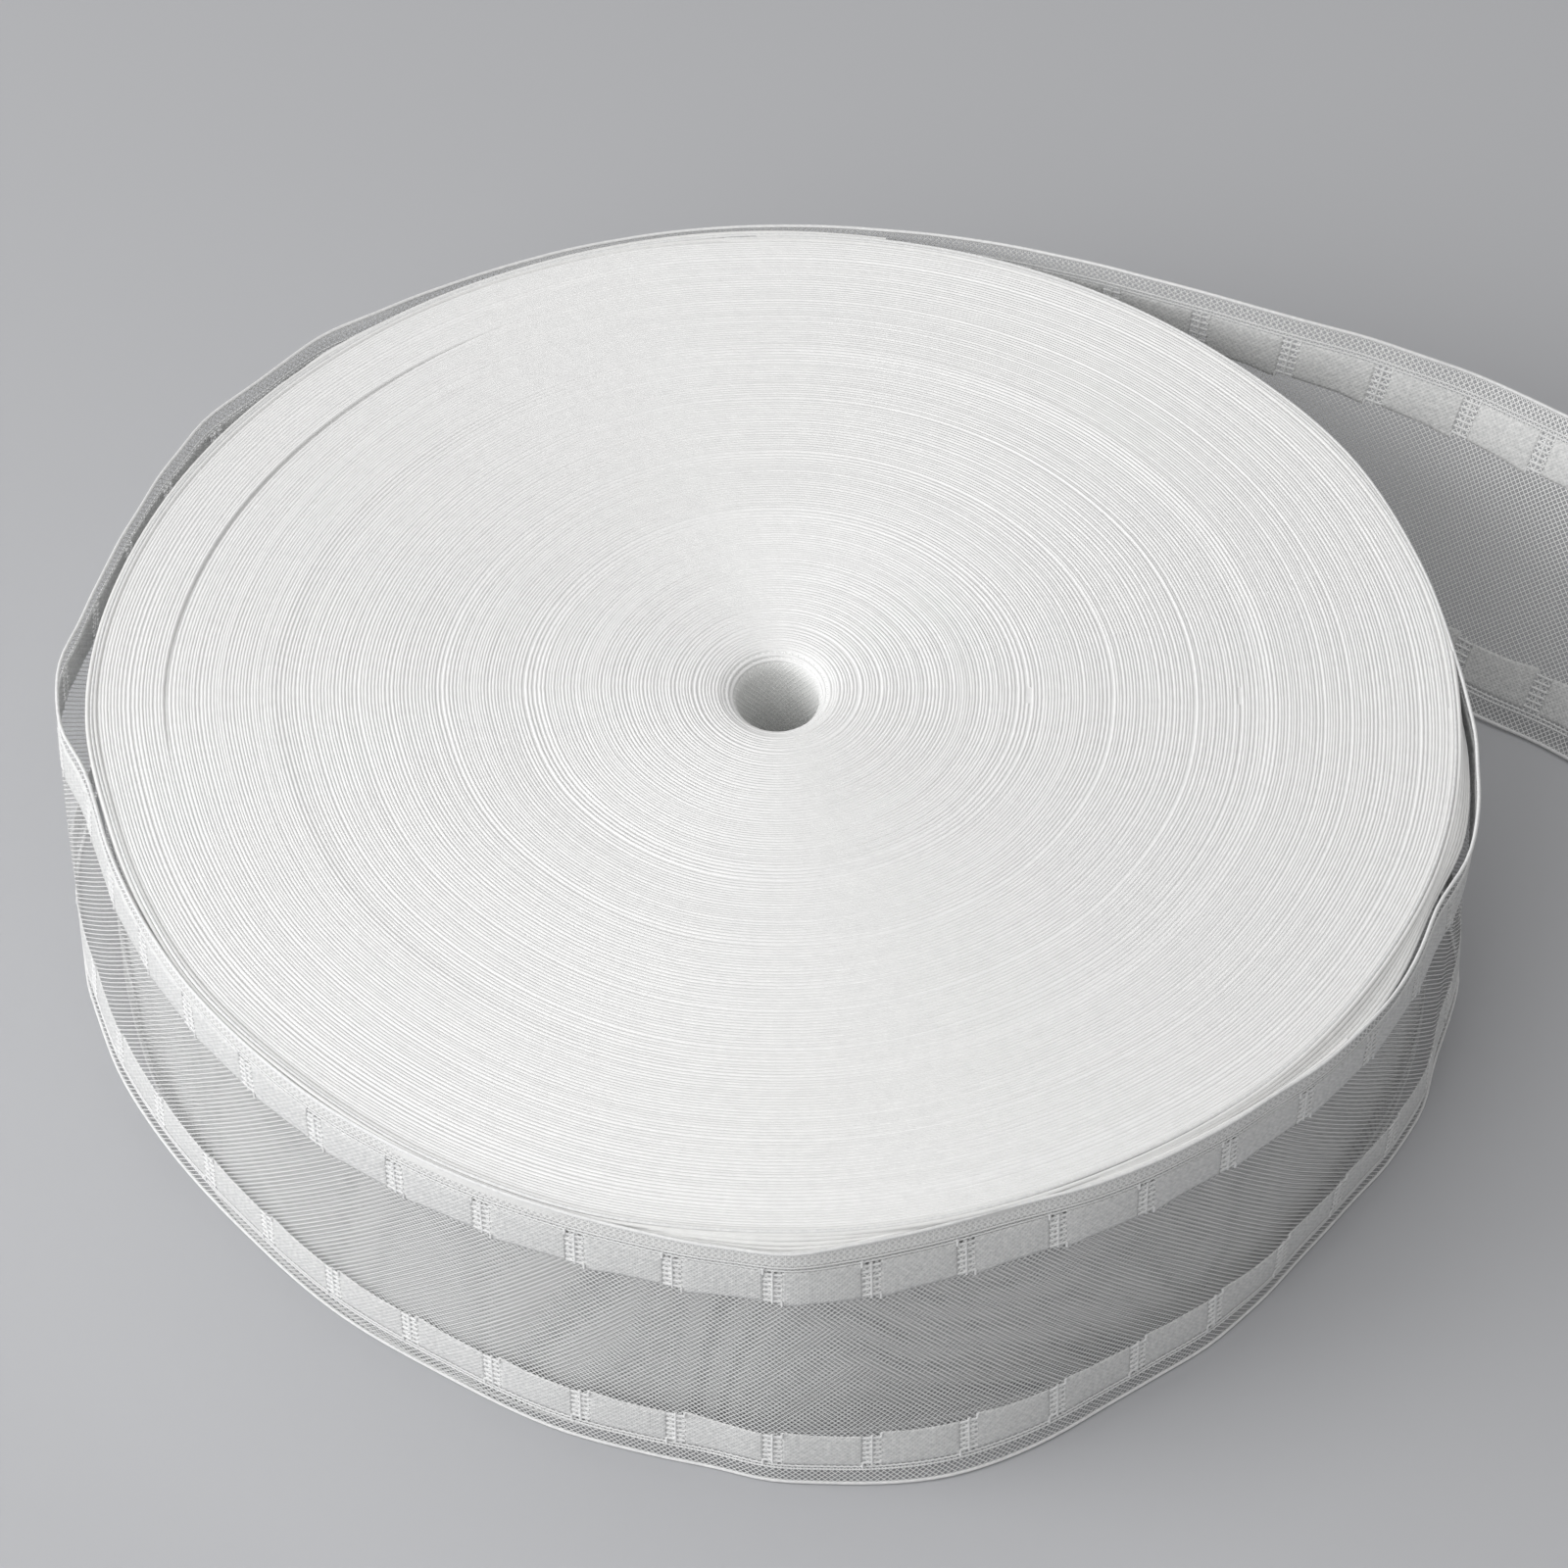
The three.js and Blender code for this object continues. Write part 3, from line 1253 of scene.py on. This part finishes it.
@dataclass(frozen=True)
class Groove:
    """A gap between two bundles that shows as a groove in the top face.

    Attributes:
        out: share of the way out where it lies.
        start: the angle where it begins, in degrees.
        end: where it ends.
        deep: how deep it is, in mm.
        half: half its width, as a share of the way out.
        cell: from row to row of the body's mesh across it, as a share of the way out.
    """

    out: float = 0.89
    start: float = 118.0
    end: float = 191.0
    deep: float = 1.4
    half: float = 0.0062
    cell: float = 0.004

    def depth(self, out: float, angle: float) -> float:
        """Returns its depth in mm at a share of the way out and an angle in radians."""
        along = (math.degrees(angle) % LAP - self.start) / (self.end - self.start)
        if not 0 < along < 1:
            return 0.0
        near = smooth(1 - abs(out - self.out) / self.half)
        return self.deep * math.sin(math.pi * along) * near


@dataclass
class WoundBody:
    """The wound part of the roll: its packed turns, its wall and the core's hole.

    Attributes:
        route: the loose tape's way, which the wound turns fill from the inside.
        clear: how far the wall stays inside the loose tape, in mm.
        core_x: half the hole's width, in mm.
        core_y: half its length.
        thread: radius of a selvedge's cord on the top face, in mm.
        buried: how far a cord's middle lies under the top face, as a share of its radius.
        bundles: the turns of the top face.
        uneven: how unevenly they were wound.
        segments: facets round the wall.
        low_turns: the turns that have slipped lower at the rim.
        groove: a gap between two bundles that shows in the top face.
        groove_ground: how many times as deep the body under the turns dips there.
        under: how far the body stays under the top face, in mm.
        wall_top: the height of the body's straight wall, in mm.
        hole_top: the same for the straight part of its hole.
        mouth: the share of the way out up to which the hole's mouth reaches.
        foot: the height of the wall's rounded foot, in mm.
        hatch_wall: the radius at which the wall's net is hatched, in mm.
        hatch_hole: the same for the hole's net.
        hatch_face: millimetres of hatching between the hole and the rim.
        seed: for the turns' unevenness.
        rim_step: degrees between two measured radii of the rim.
        rim: those radii, in mm.
    """

    route: TapeRoute
    clear: float = 0.7
    core_x: float = 9.8
    core_y: float = 10.9
    thread: float = 0.5
    buried: float = 0.9
    bundles: tuple[Bundle, ...] = (
        Bundle("turns_inner", 0.004, 0.3305, 60, 72),
        Bundle("turns_middle", 0.333, 0.6635, 60, 120),
        Bundle("turns_outer", 0.666, 0.9965, 60, 150),
    )
    uneven: Unevenness = Unevenness()
    segments: int = 192
    low_turns: LowTurns = LowTurns()
    groove: Groove = Groove()
    groove_ground: float = 2.0
    under: float = 0.24
    wall_top: float = 70.0
    hole_top: float = 72.0
    mouth: float = 0.02
    foot: float = 1.2
    hatch_wall: float = 150.0
    hatch_hole: float = 14.0
    hatch_face: float = 60.0
    seed: int = 7
    rim_step: float = 2.0
    rim: list[float] = field(default_factory=list)

    def __post_init__(self) -> None:
        """Measures the room inside the loose turns, every few degrees round the roll."""
        room = [self.route.room(i * self.rim_step) for i in range(round(LAP / self.rim_step))]
        near = (-2, -1, 0, 1, 2)
        self.rim = [
            sum(room[(i + k) % len(room)] for k in near) / len(near) - self.clear
            for i in range(len(room))
        ]

    def rim_radius(self, angle: float) -> float:
        """Returns the rim's radius at an angle in radians."""
        place = math.degrees(angle) % LAP / self.rim_step
        first = int(place) % len(self.rim)
        after = self.rim[(first + 1) % len(self.rim)]
        return self.rim[first] + (after - self.rim[first]) * (place - int(place))

    def core_radius(self, angle: float) -> float:
        """Returns the hole's radius at an angle in radians."""
        return 1 / math.hypot(math.cos(angle) / self.core_x, math.sin(angle) / self.core_y)

    def loose_turns(self, angle: float) -> tuple[float, float]:
        """Returns the radius of the inner and of the outer loose turn at an angle in degrees."""
        return self.route.top_radius(angle + LAP), self.route.top_radius(angle)

    def crest(self, out: float) -> float:
        """Returns the height of the top face at a share of the way out."""
        for a, b in zip(CRESTS, CRESTS[1:]):
            if out <= b.out:
                return a.up + (b.up - a.up) * (out - a.out) / (b.out - a.out)
        return CRESTS[-1].up

    def place(self, out: float, angle: float, height: float) -> Vector:
        """Returns the point at a share of the way out, an angle and a height in mm, in metres."""
        core, rim = self.core_radius(angle), self.rim_radius(angle)
        radius = core + (rim - core) * out
        x = radius * math.cos(angle) + AXIS_X
        y = radius * math.sin(angle) + AXIS_Y
        return Vector((x, y, height)) * MM

    def spiral(self, bundle: Bundle, dice: random.Random) -> list[Vector]:
        """Traces one bundle's selvedge, turn after turn.

        Args:
            bundle: which bundle.
            dice: the source of its unevenness.

        Returns:
            The points of the spiral.
        """
        how = self.uneven
        widths = [
            dice.uniform(*how.width) + (dice.random() < how.gap_share) * how.gap
            for _ in range(bundle.turns)
        ]
        total = sum(widths)
        waves = [(dice.choice(how.humps), dice.uniform(0, math.tau)) for _ in widths]
        drops = [dice.uniform(*how.rise) - (w > how.gap_from) * how.gap_drop for w in widths]
        line = []
        done = 0.0
        for turn, width in enumerate(widths):
            count, phase = waves[turn]
            for i in range(bundle.points):
                lap = i / bundle.points
                angle = lap * math.tau
                share = (done + width * lap) / total
                out = bundle.start + (bundle.end - bundle.start) * share
                sway = how.sway * math.sin(count * angle + phase)
                after = drops[min(turn + 1, bundle.turns - 1)]
                drop = drops[turn] * (1 - lap) + after * lap
                height = self.crest(out) - self.thread * self.buried + drop + sway
                line.append(self.place(out, angle, height - self.groove.depth(out, angle)))
            done += width
        return line

    def build_turns(self, sweep: bpy.types.NodeTree, finish: bpy.types.Material) -> None:
        """Sweeps a cord along each bundle's spiral.

        Args:
            sweep: the tree that sweeps.
            finish: the turns' material.
        """
        dice = random.Random(self.seed)
        for bundle in self.bundles:
            path = path_object(bundle.name + "_path", [self.spiral(bundle, dice)])
            swept_piece(bundle.name, path, sweep, self.thread, finish)

    def line_round(
        self, start: float, end: float, place: Callable[[float], tuple[float, float]]
    ) -> list[Vector]:
        """Traces a line round the roll.

        Args:
            start: the angle where it begins, in degrees.
            end: where it ends.
            place: turns an angle into a radius and a height, in mm.

        Returns:
            Its points, in metres.
        """
        count = max(round((end - start) / self.low_turns.cell), 2)
        line = []
        for i in range(count + 1):
            angle = start + (end - start) * i / count
            radius, height = place(angle)
            x, y, _ = TapeRoute.turned(radius, angle, height)
            line.append(Vector((x + AXIS_X, y + AXIS_Y, height)) * MM)
        return line

    def build_low_turns(
        self, sweep: bpy.types.NodeTree, finish: bpy.types.Material
    ) -> bpy.types.Object:
        """Sweeps the turns that have slipped lower, in the room that the loose turns leave.

        Args:
            sweep: the tree that sweeps.
            finish: the turns' material.

        Returns:
            The piece.
        """
        low = self.low_turns

        def at_rim(angle: float) -> tuple[float, float]:
            """Returns the place of the turn that closes the wound part's top."""
            laps = 2 * LAP if angle < self.route.turns[0].angle - 2 * LAP else LAP
            free = self.route.top_radius(angle + laps) - low.radius
            return (self.rim_radius(math.radians(angle)) + free) / 2, low.height

        def between(angle: float) -> tuple[float, float]:
            """Returns the place of the turn in the narrow room between the loose ones."""
            inner, outer = self.loose_turns(angle)
            return inner + min((outer - inner) / 2, low.inside), low.height

        lines = [self.line_round(0.0, LAP, at_rim), self.line_round(*low.narrow, between)]
        for turn in range(low.count):

            def spread(angle: float, turn: int = turn) -> tuple[float, float]:
                """Returns the place of one of the turns that fill the wider room."""
                inner, outer = self.loose_turns(angle)
                ends = min(angle - low.start, low.end - angle) / low.taper
                width = low.width(angle, outer - inner) * smooth(ends)
                wave = low.wave * math.sin(angle * low.wave_turn + turn)
                radius = inner + low.inside + width * turn / (low.count - 1)
                return radius, low.height - low.step * turn + wave

            lines.append(self.line_round(low.start, low.end, spread))
        for row in range(low.stack):

            def behind(angle: float, row: int = row) -> tuple[float, float]:
                """Returns the place of one of the turns that stand behind the net's edge."""
                inner, outer = self.loose_turns(angle)
                height = low.height - low.stack_pitch * (row + 1)
                return max(outer - low.stack_off, inner + low.radius), height

            lines.append(self.line_round(low.stack_start, low.stack_end, behind))
        path = path_object("low_turns_path", lines)
        return swept_piece("low_turns", path, sweep, low.radius, finish)

    def section(self) -> list[tuple[float, float]]:
        """Returns the body's outline, from the foot of its hole round to its underside.

        Each row is a share of the way out and a height in mm. The rows are closer together where
        the groove dips.
        """
        hole_step, wall_step = 8, 7
        hole = [(0.0, float(h)) for h in range(0, int(self.hole_top) + 1, hole_step)]
        outs = [row.out for row in CRESTS]
        outs += [self.groove.out + i * self.groove.cell for i in (-2, -1, 0, 1, 2)]
        face = [(out, self.crest(out) - self.under) for out in sorted(outs)]
        wall = [(1.0, float(h)) for h in range(int(self.wall_top), 0, -wall_step)]
        underside = [(0.992, 0.0), (0.6, 0.0), (0.2, 0.0)]
        return hole + face + wall + [(1.0, self.foot)] + underside

    def build_wall(
        self,
        finish: bpy.types.Material,
        inner: bpy.types.Material,
        ground: bpy.types.Material,
    ) -> bpy.types.Object:
        """Builds the closed body under the turns: wall, hole, underside and the ground of the top.

        Args:
            finish: its wall's material.
            inner: the material of the hole and the underside.
            ground: the material under the top face's cords.

        Returns:
            The piece that stands for the wound solid.
        """
        section = self.section()
        rows = len(section)
        points, flat, faces = [], [], []
        for i in range(self.segments + 1):
            angle = i / self.segments * math.tau
            for out, height in section:
                if height > self.wall_top:
                    dip = self.groove_ground * self.groove.depth(out, angle)
                else:
                    dip = 0.0
                points.append(self.place(out, angle, height - dip))
                reach = angle * (self.hatch_wall if out > 0.5 else self.hatch_hole)
                level = 0.0 if out in (0.0, 1.0) else out * self.hatch_face
                flat.append((reach, height + level))
        for i in range(self.segments):
            for j in range(rows):
                a, b = i * rows + j, i * rows + (j + 1) % rows
                c, d = b + rows, a + rows
                faces.append((a, b, c, d))
        mesh = mesh_of("wound_wall", points, faces, flat)
        for material in (finish, inner, ground):
            mesh.materials.append(material)
        for face in mesh.polygons:
            out, height = section[face.index % rows]
            if out > self.mouth and height > self.hole_top:
                face.material_index = 2
            elif out < self.mouth or height < self.foot:
                face.material_index = 1
        piece = finished("wound_wall", mesh, finish)
        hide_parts("wound_body")
        return piece


# The loose turns and the run-out end


@dataclass(frozen=True)
class Band:
    """A row of pockets: its lower and upper edge in mm from the lower selvedge."""

    name: str
    low: float
    high: float
    inner_edge_low: bool

    @property
    def inner(self) -> float:
        """The edge towards the middle of the tape."""
        return self.low if self.inner_edge_low else self.high

    @property
    def outer(self) -> float:
        """The edge towards the selvedge."""
        return self.high if self.inner_edge_low else self.low


@dataclass
class LooseTape:
    """The tape's last turns and its run-out end.

    Attributes:
        route: its way.
        bands: the two rows of pockets.
        pitch: from pocket to pocket, in mm.
        pocket: the length of one pocket, in mm.
        margin: how far from the start of its rows the first pocket begins, in mm.
        thick: a pocket's thickness in its middle, in mm.
        thin: its thickness at its rim.
        skew: the least and the greatest slant of a pocket's inner edge, in mm.
        step: the step at the edge's end, in mm.
        step_from: the share of the pocket's length where that begins.
        rungs: how many threads cross the ladder between two pockets.
        rung: radius of such a thread, in mm.
        knots: half the length of the knots at a row's outer and inner edge, in mm.
        knot_off: how far the knots stand out of the net, in mm.
        cord: radius of the selvedges' cords, in mm.
        edge_lines: where the fine edge threads run, in mm from the lower selvedge.
        edge_thread: their radius, in mm.
        cell: the length of the net's cells as a mesh, in mm.
        rows: how many such cells lie across the tape.
    """

    route: TapeRoute
    bands: tuple[Band, ...] = (
        Band("pockets_lower", 7.0, 17.4, False),
        Band("pockets_upper", 62.9, 73.4, True),
    )
    pitch: float = POCKET_PITCH
    pocket: float = 17.8
    margin: float = 2.0
    thick: float = 0.5
    thin: float = 0.14
    skew: tuple[float, float] = (0.5, 0.9)
    step: float = 0.5
    step_from: float = 0.85
    rungs: int = 6
    rung: float = 0.35
    knots: tuple[float, float] = (0.9, 0.7)
    knot_off: float = 0.1
    cord: float = 0.45
    edge_lines: tuple[float, ...] = (5.4, 6.4, 73.9, 74.9)
    edge_thread: float = 0.22
    cell: float = 4.0
    rows: int = 20

    def build_net(self, finish: bpy.types.Material) -> bpy.types.Object:
        """Builds the net as one thin surface.

        Args:
            finish: its material.

        Returns:
            The piece that stands for the loose solid.
        """
        columns, rows = round(self.route.length / self.cell), self.rows
        points, flat, faces = [], [], []
        for i in range(columns + 1):
            along = self.route.length * i / columns
            for j in range(rows + 1):
                across = TAPE_WIDTH * j / rows
                points.append(self.route.at(along, across, 0.0))
                flat.append((along, across))
        for i in range(columns):
            for j in range(rows):
                a = i * (rows + 1) + j
                faces.append((a, a + 1, a + rows + 2, a + rows + 1))
        mesh = mesh_of("net", points, faces, flat)
        piece = finished("net", mesh, finish)
        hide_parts("loose_end")
        return piece

    def pockets(self) -> list[float]:
        """Returns where each pocket begins, in mm from the inner end."""
        first = self.route.along_turn(POCKETS_SHOW_FROM) + self.margin
        count = int((self.route.length - first - self.pocket) // self.pitch) + 1
        return [first + i * self.pitch for i in range(count)]

    def build_pockets(self, band: Band, finish: bpy.types.Material) -> bpy.types.Object:
        """Builds one row of pockets, each a flat woven tube with a stepped inner edge.

        Args:
            band: which row.
            finish: its material.

        Returns:
            The piece.
        """
        patches = Patchwork(self.route)
        dice = random.Random(len(band.name))
        for start in self.pockets():
            slant = dice.uniform(*self.skew)

            def place(
                s: float, t: float, start: float = start, slant: float = slant
            ) -> tuple[float, float]:
                """Returns millimetres along and across for shares of the pocket."""
                edge = slant * (s - 0.5) + self.step * (s > self.step_from)
                low = band.low - (edge if band.inner_edge_low else 0.0)
                high = band.high + (0.0 if band.inner_edge_low else edge)
                return start + s * self.pocket, low + (high - low) * t

            patches.add_pad(place, self.thick, self.thin)
        return finished(band.name, patches.mesh(band.name), finish)

    def build_ladders(
        self, band: Band, tree: bpy.types.NodeTree, finish: bpy.types.Material
    ) -> bpy.types.Object:
        """Lays the short threads of the open ladder between two pockets.

        Args:
            band: which row.
            tree: the tree that thickens edges.
            finish: the threads' material.

        Returns:
            The piece.
        """
        ends: list[Vector] = []
        gap = self.pitch - self.pocket
        for start in self.pockets()[1:]:
            for i in range(self.rungs):
                across = band.low + (band.high - band.low) * (i + 0.5) / self.rungs
                ends += [self.route.at(end, across, 0.0) for end in (start - gap, start)]
            middle = start - gap / 2
            ends += [self.route.at(middle, across, 0.0) for across in (band.low, band.high)]
            knots = zip((start, start - gap), (band.outer, band.inner), self.knots)
            for end, edge, reach in knots:
                ends += [self.route.at(end, edge + way, self.knot_off) for way in (-reach, reach)]
        edges = [(i, i + 1) for i in range(0, len(ends), 2)]
        name = band.name.replace("pockets", "ladders")
        mesh = bpy.data.meshes.new(name + "_edges")
        mesh.from_pydata([tuple(p) for p in ends], edges, [])
        source = put(name + "_edges", mesh)
        return swept_piece(name, source, tree, self.rung, finish, sides=5)

    def line(self, across: float) -> list[Vector]:
        """Returns the points of a thread that runs the length of the tape."""
        length, count = self.route.length, round(self.route.length / self.cell)
        return [self.route.at(length * i / count, across, 0.0) for i in range(count + 1)]

    def build_threads(
        self,
        weave: Weave,
        places: Sequence[float],
        radius: float,
        tree: bpy.types.NodeTree,
        finish: bpy.types.Material,
    ) -> bpy.types.Object:
        """Sweeps cords or threads that run the length of the tape.

        Args:
            weave: which kind they are.
            places: millimetres from the lower selvedge.
            radius: of each, in mm.
            tree: the tree that sweeps.
            finish: their material.

        Returns:
            The piece.
        """
        name = weave.value + "s"
        path = path_object(name + "_path", [self.line(across) for across in places])
        return swept_piece(name, path, tree, radius, finish)


# The stage


@dataclass(frozen=True)
class SoftBox:
    """A round soft light that faces the roll: its place and width in metres, its power in watts."""

    name: str
    place: tuple[float, float, float]
    width: float
    power: float

    def hang(self) -> None:
        """Puts the light in the scene."""
        data = bpy.data.lights.new(self.name, "AREA")
        data.shape = "DISK"
        data.size = self.width
        data.energy = self.power
        lamp = put(self.name, data)
        lamp.location = self.place
        aim = Vector((AXIS_X, AXIS_Y, TAPE_WIDTH / 2)) * MM - lamp.location
        lamp.rotation_euler = aim.to_track_quat("-Z", "Y").to_euler()


@dataclass
class Stage:
    """The pale table, the soft lights and the camera.

    Attributes:
        lights: the soft boxes, from the left, from above and weaker from the front left.
        room: the colour of the light from all round.
        room_power: its strength.
        board: the table's colour.
        board_roughness: of its surface.
        board_reach: half its width in metres.
        board_gap: how far the roll stays above it, in mm.
        elevation: how far the camera looks down, in degrees.
        camera: its place in mm from the roll's axis on the table.
        lens: its focal length for a 36 mm picture, in mm.
    """

    lights: tuple[SoftBox, ...] = (
        SoftBox("key", (-1.9, -0.4, 0.95), 1.6, 28.0),
        SoftBox("top", (-0.05, 0.1, 2.1), 2.2, 11.8),
        SoftBox("fill", (-1.1, -1.5, 1.5), 1.4, 14.0),
    )
    room: str = "#E6E5E4"
    room_power: float = 0.36
    board: str = "#B9BABD"
    board_roughness: float = 0.8
    board_reach: float = 3.0
    board_gap: float = 0.2
    elevation: float = 48.1
    camera: tuple[float, float, float] = (1.5, -814.3, 953.5)
    lens: float = 118.7

    def build_floor(self) -> None:
        """Lays the plain pale table."""
        reach, under = self.board_reach, -self.board_gap * MM
        ways = ((-1, -1), (1, -1), (1, 1), (-1, 1))
        corners = [Vector((x * reach, y * reach, under)) for x, y in ways]
        floor = put("floor", mesh_of("floor", corners, [(0, 1, 2, 3)]))
        material = bpy.data.materials.new("matt pale board")
        material.use_nodes = True
        shader = material.node_tree.nodes["Principled BSDF"]
        shader.inputs["Base Color"].default_value = linear(self.board)
        shader.inputs["Roughness"].default_value = self.board_roughness
        floor.data.materials.append(material)

    def build_lights(self) -> None:
        """Hangs the soft boxes and lights the room."""
        for light in self.lights:
            light.hang()
        world = bpy.data.worlds.new("soft room")
        world.use_nodes = True
        background = world.node_tree.nodes["Background"]
        background.inputs["Color"].default_value = linear(self.room)
        background.inputs["Strength"].default_value = self.room_power
        bpy.context.scene.world = world
        bpy.context.scene.view_settings.view_transform = "Standard"

    def build_camera(self) -> None:
        """Sets the camera at the photograph's angle."""
        data = bpy.data.cameras.new("camera")
        data.lens = self.lens
        data.sensor_width = 36.0
        data.clip_start, data.clip_end = 0.05, 20.0
        camera = put("camera", data)
        x, y, z = self.camera
        camera.location = Vector((x + AXIS_X, y + AXIS_Y, z)) * MM
        camera.rotation_euler = (math.radians(90 - self.elevation), 0.0, 0.0)
        bpy.context.scene.camera = camera


def main() -> None:
    """Builds the roll and its stage."""
    logging.basicConfig(level=logging.INFO, format="%(name)s %(message)s")
    stage = Stage()
    stage.build_camera()
    stage.build_floor()
    stage.build_lights()

    tape = LooseTape(TapeRoute(TURNS, RUN_OUT))
    front = (tape.route.along_turn(FRONT_FROM), tape.route.along_turn(FRONT_TO))
    net, pocket, cord = replace(NET, front=front).make(), POCKETS.make(), CORDS.make()
    # slack: the darker finish of the low turns, painted shade; core: a lighter copy of the wall's,
    # painted light
    packed, slack = PACKED_TURNS.make(), SLACK_TURNS_PAINTED_SHADE.make()
    wall, core = WALL.make(), CORE_PAINTED_LIGHT.make()

    sweep = thread_tree("thread along a path")
    bars = thread_tree("short threads on edges", from_edges=True)

    body = WoundBody(tape.route)
    body.build_wall(wall, core, packed)
    body.build_turns(sweep, packed)
    body.build_low_turns(sweep, slack)

    sheet = tape.build_net(net)
    for band in tape.bands:
        tape.build_pockets(band, pocket)
        tape.build_ladders(band, bars, cord)
    both = (tape.cord, TAPE_WIDTH - tape.cord)
    tape.build_threads(Weave.SELVEDGE, both, tape.cord, sweep, cord)
    places, radius = tape.edge_lines, tape.edge_thread
    tape.build_threads(Weave.EDGE_THREAD, places, radius, sweep, cord)


if __name__ == "__main__":
    main()
